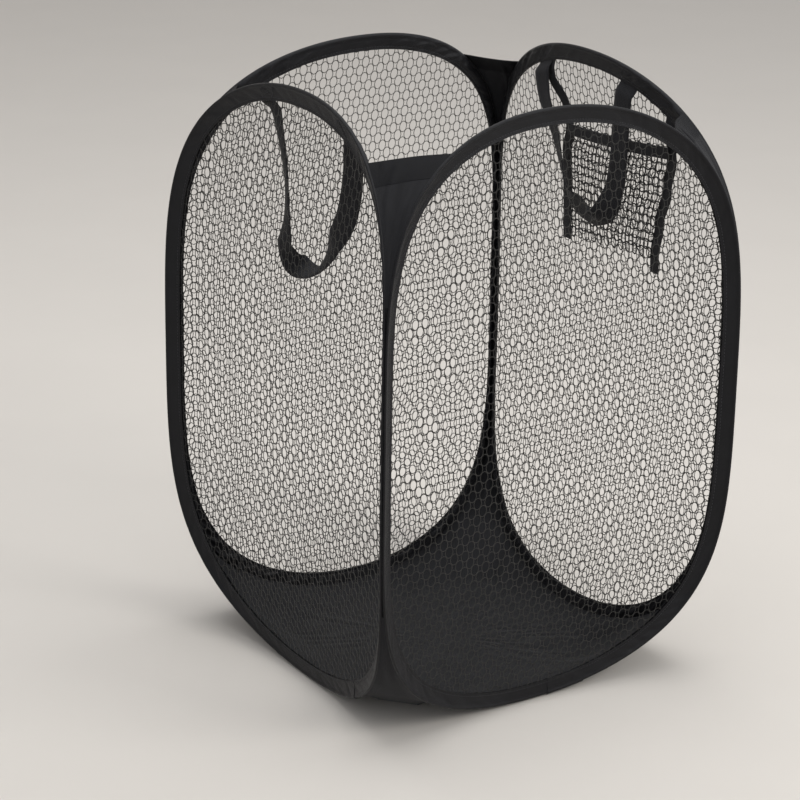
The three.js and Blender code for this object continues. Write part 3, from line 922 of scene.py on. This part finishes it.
def corner_cloth(quarter, low, high, columns, rows, sag, folds, lifts, first, last):
    """Cloth from this panel's edge to the next one's, as an open grid between two heights."""
    outward = Vector((1, -1, 0)).normalized()

    def place(u, v):
        share = lerp(first, last, u)
        height = lerp(low, high, v)
        lifted = smoothstep(seam_top, hem_top, height)
        near = on_panel(edge_point(turn_at_height(height + lifts[0] * lifted)), cloth_tuck, 0)
        other = on_panel(edge_point(turn_at_height(height + lifts[1] * lifted)), cloth_tuck, 0)
        far = Vector((hinge_half - other.y, hinge_half - other.x, other.z))
        span = (far - near).length
        dip = sag * math.sin(math.pi * share) * span / hinge_half * 2
        point = near.lerp(far, share)
        crease = folds(share, height, span)
        return placed(point + outward * (crease - dip), quarter)

    span = 2 * half_width / 3
    return cloth_grid(columns, rows, place, span * (last - first), high - low)


drag_scale = 0.1  # metres across the cloth for a whole share
# Drag lines of an upper gusset: start and end, as a share of its way across and a height over the
# hem's foot, then width and depth
gusset_drags = [
    ((0.3, 0.012), (0.08, -0.016), 0.0026, -0.0026),
    ((0.14, 0.015), (0.04, 0.004), 0.0024, -0.0018),
    ((0.44, 0.006), (0.14, -0.024), 0.006, 0.0012),
    ((0.8, -0.004), (0.5, seam_top + 0.03 - hem_foot), 0.009, -0.001),
]
drag_fade_shares = (-0.15, 0.2, 0.8, 1.15)


def fold_line(share, height, start, end, width, depth):
    """A soft crease along a line from one place on the cloth to another."""
    x, z = share * drag_scale, height
    ax, az = start[0] * drag_scale, hem_foot + start[1]
    bx, bz = end[0] * drag_scale, hem_foot + end[1]
    run = (bx - ax) ** 2 + (bz - az) ** 2
    part = ((x - ax) * (bx - ax) + (z - az) * (bz - az)) / run
    along = min(1, max(0, part))
    away = math.hypot(x - lerp(ax, bx, along), z - lerp(az, bz, along))
    faint, full, waning, gone = drag_fade_shares
    fade = smoothstep(faint, full, part) * (1 - smoothstep(waning, gone, part))
    return depth * fade * math.exp(-((away / width) ** 2))


def held_ends(share, span, narrow):
    """1 over most of a cloth, 0 at its two sewn edges, and less where it is narrow."""
    return min(1, math.sin(math.pi * share) * 3) * min(1, span / narrow)


def gusset_folds(seed):
    """The creases of an upper gusset and its hem: two drag lines from the near end and a soft facet."""
    def folds(share, height, span):
        depth = sum(fold_line(share, height, *drag) for drag in gusset_drags)
        ripple = wander(share * 2.2, height / gusset_ripple_tall, seed)
        return (depth + ripple * gusset_ripple) * held_ends(share, span, gusset_narrow)
    return folds


def lower_folds(seed):
    """Upright folds of a lower gusset, deeper towards its foot."""
    def folds(share, height, span):
        low_down = smoothstep(seam_foot, bottom_corner_height, height)
        draw = math.sin(share * math.pi * 3 + seed) * cloth_ripple * low_down
        ripple = wander(share * 3, height / lower_ripple_tall, seed + 9)
        return (draw + ripple * cloth_ripple) * held_ends(share, span, lower_narrow)
    return folds


def seam_folds(seed):
    """The seam's slight hollow and its gathers."""
    def folds(share, height, span):
        gathers = wander(share, height / seam_gather_tall, seed)
        return -seam_hollow * math.sin(math.pi * share) + seam_gather * gathers
    return folds


corner_pieces = [
    # name, low, high, columns, rows, sag, folds, thickness, slot, finish, reach of the bend
    ("upper_gusset", seam_top, hem_foot + gusset_lap, 28, 32, gusset_sag, gusset_folds,
     cloth_thickness, "gusset_cloth", gusset_nylon, corner_reach),
    ("gusset_hem", hem_foot, hem_top, 32, 8, gusset_sag, gusset_folds,
     hem_thickness, "hem_cloth", hem_nylon, corner_reach),
    ("corner_seam", seam_foot, seam_top, 6, 60, 0, seam_folds,
     cloth_thickness, "binding_tape", binding_nylon, seam_reach),
    ("lower_gusset", bottom_corner_height - corner_flap, seam_foot, 28, 30, gusset_sag, lower_folds,
     cloth_thickness, "gusset_cloth", gusset_nylon, corner_reach),
]


def corner_piece(quarter, corner, row, half):
    """One corner cloth, or the half of it on one side of the diagonal."""
    name, low, high, columns, rows, sag, folds, thickness, slot, finish, reach = row
    way, place = corner_ways[corner]
    way = way.normalized()
    shares = {"": (0, 1), "_near": (0, 0.5), "_far": (0.5, 1)}[half]
    lifts = hem_lifts.get(corner, (0, 0))
    mesh = corner_cloth(quarter, low, high, columns, rows, sag, folds(quarter), lifts, *shares)
    area = sum(face.calc_area() for face in mesh.faces)
    outward = Vector((place.x, place.y, 0)).normalized()
    mesh = faced(mesh, lambda centre: outward)
    piece = finished(f"{name}_{corner}_cloth{half}", mesh, None, slot, finish)
    thickened(piece, thickness)
    start, end = place - way * reach, place + way * reach
    if half == "_near":
        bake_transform(piece)
        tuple(start)
    elif half == "_far":
        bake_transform(piece)
        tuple(end)
    else:
        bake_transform(piece)
        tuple(start)
        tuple(end)
    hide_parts(f"{name}_{corner}")
    return piece, area, high - low


def corner(quarter, name):
    """The four cloths of a corner, or at the back-left corner the two halves of each."""
    halves = ("_near", "_far") if name == "back_left" else ("",)
    for half in halves:
        upper, hem, seam, lower = [corner_piece(quarter, name, row, half) for row in corner_pieces]
        for (piece, area, tall), others in ((upper, [hem[0], seam[0]]), (lower, [])):
            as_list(others)


# Bottom

bottom_columns = 96
bottom_rows = 40


def bottom_rim(first_quarter, share):
    """A place on the bottom's edge, half round the hamper from the middle of one side."""
    reach = turn_at_height(bottom_corner_height)
    walk = share * 2 + 0.5
    side = min(2, int(walk))
    turn = lerp(-reach, reach, walk - side)
    point = on_panel(edge_point(turn), fold_radius, bottom_reach_inset)
    return placed(point, (first_quarter + side) % 4)


def bottom_half(name, first_quarter, seam_side):
    rim_ends = [bottom_rim(first_quarter, share).x for share in (0, 1)]
    whole_turn = smoothstep(bottom_turn_start_share, bottom_turn_end_share, 1)

    def place(u, v):
        rim = bottom_rim(first_quarter, u)
        seam = Vector((lerp(rim_ends[0], rim_ends[1], u) * bottom_seam_share, 0, 0))
        rise = smoothstep(bottom_turn_start_share, bottom_turn_end_share, v) / whole_turn
        point = seam.lerp(Vector((rim.x, rim.y, 0)), v)
        drawn = abs(math.sin(2 * math.atan2(rim.y, rim.x))) ** 3
        rays = math.sin(math.atan2(point.y, point.x) * bottom_pull_turns + seam_side)
        pull = rays * bottom_pull * drawn * v * (1 - v) * 4
        spot = Vector((point.x / bottom_ripple_pitch, point.y / bottom_ripple_pitch, seam_side))
        ripple = wander(*spot) * cloth_ripple * (1 - v ** 6)
        point.z = rim.z * rise + bottom_thickness + abs(pull + ripple)
        return point

    mesh = cloth_grid(bottom_columns, bottom_rows, place, 4 * half_width, half_width)
    bmesh.ops.remove_doubles(mesh, verts=mesh.verts, dist=weld)
    mesh = faced(mesh, lambda centre: UP)
    area = sum(face.calc_area() for face in mesh.faces)
    piece = finished(f"{name}_cloth", mesh, None, "bottom_cloth", bottom_nylon)
    thickened(piece, bottom_thickness)
    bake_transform(piece)
    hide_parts(name)


# Handles

def held_by_tape(x, z):
    """1 under the tape's stitched edge, 0 where a strap has come away from the net."""
    return 1 - smoothstep(tape_depth, tape_depth + strap_rise, inset_from_outline(x, z))


def tucked(x):
    """The drop at which a strap's end lies, held under the tape's stitched edge."""
    return panel_top - on_panel(top_edge(x), tape_depth - strap_tuck, 0).z


# Each strap's middle line from one sewn end to the other: place across the panel and drop under
# its top, both in metres, and how many degrees the webbing turns out of the panel's plane
handle_ways = {
    "left": [
        (strap_start, tucked(strap_start), 0),
        (-0.055, 0.047, -14), (-0.047, 0.080, -20), (-0.044, 0.111, -24),
        (-0.041, 0.144, -14), (-0.040, 0.165, 10), (-0.036, 0.178, 44), (-0.022, 0.184, 66),
        (-0.002, 0.180, 70), (0.016, 0.167, 46), (0.036, 0.149, 20), (0.057, 0.125, -6),
        (0.068, 0.102, -17), (0.075, 0.075, -18), (0.078, 0.052, -12),
        (strap_finish, tucked(strap_finish), 0),
    ],
    "right": [
        (strap_start, tucked(strap_start), 0),
        (-0.060, 0.046, 4), (-0.059, 0.072, 5), (-0.058, 0.101, 6),
        (-0.054, 0.132, 12), (-0.047, 0.153, 38), (-0.036, 0.163, 52), (-0.018, 0.163, 22),
        (0.006, 0.157, 18), (0.019, 0.143, 36), (0.029, 0.122, 30), (0.040, 0.100, 22),
        (0.050, 0.085, 16), (0.062, 0.069, 12), (0.071, 0.053, 6),
        (strap_finish, tucked(strap_finish), 0),
    ],
}


def curve_at(rows, share):
    """A smooth curve through rows of numbers, at a share of its way."""
    walk = share * (len(rows) - 1)
    index = min(len(rows) - 2, int(walk))
    part = walk - index
    before, start = rows[max(0, index - 1)], rows[index]
    end, after = rows[index + 1], rows[min(len(rows) - 1, index + 2)]
    weights = (
        (-part + 2 * part ** 2 - part ** 3) / 2,
        (2 - 5 * part ** 2 + 3 * part ** 3) / 2,
        (part + 4 * part ** 2 - 3 * part ** 3) / 2,
        (part ** 3 - part ** 2) / 2,
    )
    around = (before, start, end, after)
    return [sum(w * row[k] for w, row in zip(weights, around)) for k in range(len(start))]


def strap_stations(side):
    """Middle line of the strap and its twist, from one end round to the other."""
    rows = [curve_at(handle_ways[side], k / strap_columns) for k in range(strap_columns + 1)]
    return [(x, panel_top - drop, math.radians(twist)) for x, drop, twist in rows]


def strap_section():
    """Round the webbing's cross-section: across its width, across its thickness."""
    half, thick = strap_width / 2, strap_thickness / 2
    upper = [(half * a, thick * c) for a, c in strap_shares]
    lower = [(half * a, -thick * c) for a, c in strap_shares[-2:0:-1]]
    return upper + lower


def strap_plane():
    """How far in from the corner seams the strap hangs."""
    return bow(strap_start, strap_top) + strap_stand


def handle_strap(side, quarter):
    stations = strap_stations(side)
    section = strap_section()
    last = len(stations) - 1
    inward = Vector((0, 1, 0))
    length = sum(math.dist(a[:2], b[:2]) for a, b in zip(stations, stations[1:]))

    def place(u, v):
        index = round(u * last)
        x, z, twist = stations[index]
        before, after = stations[max(0, index - 1)], stations[min(last, index + 1)]
        along = Vector((after[0] - before[0], 0, after[1] - before[1])).normalized()
        beside = along.cross(inward)
        wide = beside * math.cos(twist) + inward * math.sin(twist)
        thick = along.cross(wide)
        stand = strap_plane() + abs(math.sin(twist)) * strap_width / 2
        across, over = section[round(v * len(section)) % len(section)]
        hanging = math.sin(math.pi * index / last)
        cup = strap_cup * (1 - (across / (strap_width / 2)) ** 2) * hanging
        point = Vector((x, stand, z)) + wide * across
        held = held_by_tape(point.x, point.z)
        point.y = lerp(point.y, bow(point.x, point.z) + sewn_stand, held)
        return placed(point + thick * (over * lerp(1, sewn_share, held) + cup), quarter)

    mesh = cloth_grid(last, len(section), place, length, 2 * (strap_width + strap_thickness))
    mesh = capped(mesh, len(section), weld)
    piece = finished(f"handle_{side}_webbing", mesh, f"handle_{side}", "webbing", handle_webbing)
    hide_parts(f"handle_strap_{side}")


def handle_anchor(side, quarter, end, letter):
    """The webbing's sewn end, held between the two faces of the tape by a boxed cross of stitches."""
    middle = handle_shift + end * strap_span / 2
    half = strap_width / 2
    inward = across_panel(quarter)

    def place(u, v):
        inset = tape_depth - strap_tuck / 2 - anchor_tall * v
        return placed(on_panel(top_edge(middle + (2 * u - 1) * half), inset, sewn_stand), quarter)

    mesh = cloth_grid(12, 14, place, strap_width, anchor_tall)
    piece = inner_cloth(
        f"handle_{side}_end_{letter}", f"handle_anchor_{side}_{letter}", mesh, f"{side}_panel", quarter,
        "webbing", handle_webbing, strap_thickness * sewn_share
    )

    sewing = bmesh.new()
    for face in (-1, 1):
        def corner_at(a, b):
            edge = top_edge(middle + a * (half - anchor_sewing_inset))
            inset = tape_depth / 2 - b * anchor_sewing_tall / 2
            return placed(on_panel(edge, inset, face * anchor_sewing_stand), quarter)

        box = [corner_at(-1, -1), corner_at(1, -1), corner_at(1, 1), corner_at(-1, 1)]
        lines = list(zip(box, box[1:] + box[:1])) + [(box[0], box[2]), (box[1], box[3])]
        for start, finish_at in lines:
            stitched(sewing, stitch_line(start, finish_at, inward * face))
    stitches = finished(
        f"handle_{side}_stitches_{letter}", sewing, f"{side}_panel", "webbing", black_thread
    )


# Pouch

# Each side tape's middle line, from its top down: drop under the panel's top, place across it
pouch_tape_ways = {
    "a": [
        (0.030, -0.120), (0.082, -0.1255), (0.117, -0.115), (0.157, -0.101), (0.190, -0.094),
        (0.209, -0.094),
    ],
    "b": [
        (0.012, 0.071), (0.040, 0.065), (0.068, 0.045), (0.091, 0.042), (0.117, 0.051),
        (0.170, 0.052), (0.211, 0.052),
    ],
}


def tape_place(letter, drop):
    """Where a side tape is across the panel at a drop under its top."""
    rows = pouch_tape_ways[letter]
    index = max(1, min(len(rows) - 1, bisect_left([row[0] for row in rows], drop)))
    above, below = rows[index - 1], rows[index]
    return lerp(above[1], below[1], smoothstep(above[0], below[0], drop))


def pouch_point(u, v, stand=0.0):
    """A point of the pouch, from the foot of tape a over to the top of tape b."""
    drop = pouch_top_drop + (1 - v) * pouch_tall + (u - 0.5) * pouch_tilt
    x = lerp(tape_place("a", drop), tape_place("b", drop), u)
    z = panel_top - drop
    belly = pouch_belly * v * math.sin(math.pi * u)
    return Vector((x, bow(x, z) + pouch_stand_at_side + belly + stand, z))


def pouch_net(quarter):
    def kept(x, z):
        within = abs(x) < (pouch_width - mesh_half_width) / 2
        return within and abs(z) < (pouch_tall - mesh_half_tall) / 2

    def place(x, z, rise):
        u, v = x / pouch_width + 0.5, z / pouch_tall + 0.5
        spot = Vector((x / pouch_slack_pitch, z / pouch_slack_pitch, 3))
        slack = wander(*spot) * pouch_slack * math.sin(math.pi * u)
        return placed(pouch_point(u, v, slack + rise), quarter)

    piece = net_piece(
        "pouch_knit", pouch_width, pouch_tall, pouch_yarn_width, kept, place, "right_panel",
        "pouch_net", pouch_yarn
    )
    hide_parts("pouch_mesh")


def pouch_hem(quarter):
    hem_share = pouch_hem_tall / pouch_tall

    def place(u, v):
        wave = wander(u * 9, v, 8) * pouch_hem_wave
        return placed(pouch_point(u, 1 - hem_share * (1 - v), pouch_hem_stand + wave), quarter)

    mesh = cloth_grid(60, 6, place, pouch_width, pouch_hem_tall)
    inner_cloth(
        "pouch_hem_cloth", "pouch_hem", mesh, "right_panel", quarter,
        "pouch_tape", pouch_nylon, pouch_hem_thickness
    )


def pouch_tape(quarter, letter):
    rows = pouch_tape_ways[letter]
    top = panel_top - top_edge(rows[0][1])[1] + tape_depth - pouch_tape_lap
    foot = rows[-1][0]

    def place(u, v):
        drop = lerp(foot, top, v)
        x = tape_place(letter, drop)
        lower, upper = tape_place(letter, drop + slope_step), tape_place(letter, drop - slope_step)
        slope = (lower - upper) / (2 * slope_step)
        across = Vector((1, 0, slope)).normalized() * (u - 0.5) * pouch_tape_width
        z = panel_top - drop
        wave = wander(z / pouch_tape_wave_pitch, rows[0][1], 2) * pouch_tape_wave
        x += across.x
        z += across.z
        stand = lerp(pouch_tape_stand + wave, sewn_stand, held_by_tape(x, z))
        return placed(Vector((x, bow(x, z) + stand, z)), quarter)

    mesh = cloth_grid(6, 100, place, pouch_tape_width, foot - top)
    piece = inner_cloth(
        f"pouch_tape_cloth_{letter}", f"pouch_tape_{letter}", mesh, "right_panel", quarter,
        "pouch_tape", pouch_nylon, pouch_tape_thickness
    )


# The hamper

for quarter, side in enumerate(sides):
    spring_wire(side, quarter)
    bound_edge(side, quarter)
    bound_edge_lap(side, quarter)
    edge_stitching(side, quarter)
    panel_net(side, quarter)
    corner(quarter, f"{side}_{sides[(quarter + 1) % 4]}")
    wire_ferrule(side, quarter)
    if side in ("left", "right"):
        handle_strap(side, quarter)
        handle_anchor(side, quarter, -1, "a")
        handle_anchor(side, quarter, 1, "b")

pouch_quarter = sides.index("right")
pouch_tape(pouch_quarter, "a")
pouch_tape(pouch_quarter, "b")
pouch_hem(pouch_quarter)
pouch_net(pouch_quarter)
bottom_half("bottom_front_half", 3, -1)
bottom_half("bottom_back_half", 1, 1)


# Studio

def paper_finish(name, colour):
    finish = Finish(name)
    place = finish.node("ShaderNodeTexCoord").outputs["Object"]
    grain = finish.noise(place, 6)
    darker = tuple(channel * 0.96 for channel in colour[:3]) + (1,)
    finish.feed("Base Color", finish.mixed(grain, darker, colour))
    finish.feed("Roughness", 0.9)
    return finish.material


floor_width = 14
floor_length = 12
floor_front = 3  # in front of the hamper
floor_flat = 3.5  # behind it, before the floor curves up
floor_turn = 2  # radius of the curve and the run it takes


def studio_floor():
    """A pale floor that curves up into the backdrop."""
    mesh = bmesh.new()
    bmesh.ops.create_grid(mesh, x_segments=1, y_segments=60, size=0.5)
    for vert in mesh.verts:
        run = (vert.co.y + 0.5) * floor_length - floor_front
        turn = min(1, max(0, (run - floor_flat) / floor_turn)) * math.pi / 2
        depth = min(run, floor_flat) + floor_turn * math.sin(turn)
        height = floor_turn * (1 - math.cos(turn)) + max(0, run - floor_flat - floor_turn)
        vert.co = Vector((vert.co.x * floor_width, depth, height))
    data = bpy.data.meshes.new("studio_floor")
    mesh.to_mesh(data)
    mesh.free()
    data.shade_smooth()
    floor = linked("studio_floor", data)
    data.materials.append(paper_finish("studio_paper", shade(214, 209, 202)))


def soft_light(name, place, aim, size, power, tint=(1, 1, 1)):
    lamp = bpy.data.lights.new(name, "AREA")
    lamp.shape = "RECTANGLE"
    lamp.size, lamp.size_y = size
    lamp.energy = power
    lamp.color = tint
    holder = linked(name, lamp)
    holder.location = place
    holder.rotation_euler = (Vector(aim) - Vector(place)).to_track_quat("-Z", "Y").to_euler()


studio_floor()
soft_light("overhead", (0.2, 0.3, 2.6), (0, 0, 0.3), (2.4, 2.0), 36)
soft_light("window", (1.5, -2.6, 2.0), (0, 0, 0.3), (1.6, 1.6), 50, (1, 0.98, 0.95))
soft_light("fill", (-2.6, -1.0, 1.4), (0, 0, 0.3), (1.8, 1.8), 5, (0.95, 0.97, 1))

scene = bpy.context.scene
scene.view_settings.view_transform = "Standard"
world = bpy.data.worlds.new("studio_world")
world.use_nodes = True
world.node_tree.nodes["Background"].inputs["Color"].default_value = (0.96, 0.97, 1, 1)
world.node_tree.nodes["Background"].inputs["Strength"].default_value = 0.58
scene.world = world

# Camera at the photograph's place
camera_azimuth = math.radians(-33.17)
camera_elevation = math.radians(20.48)
camera_roll = 0.015
camera_distance = 2.740
camera_aim = Vector((-0.0386, 0.0227, 0.2629))
camera_focal_pixels = 2740.77
photo_width_pixels = 800
sensor_width = 36
camera = bpy.data.cameras.new("camera")
camera.lens = camera_focal_pixels * sensor_width / photo_width_pixels
camera.sensor_width = sensor_width
holder = linked("camera", camera)
back = Vector((
    math.sin(camera_azimuth) * math.cos(camera_elevation),
    -math.cos(camera_azimuth) * math.cos(camera_elevation),
    math.sin(camera_elevation),
))
level = (-back).cross(UP).normalized()
upright = level.cross(-back)
rightward = level * math.cos(camera_roll) + upright * math.sin(camera_roll)
upward = upright * math.cos(camera_roll) - level * math.sin(camera_roll)
holder.matrix_world = Matrix.Translation(camera_aim + back * camera_distance) @ Matrix(
    (rightward, upward, back)
).transposed().to_4x4()
scene.camera = holder
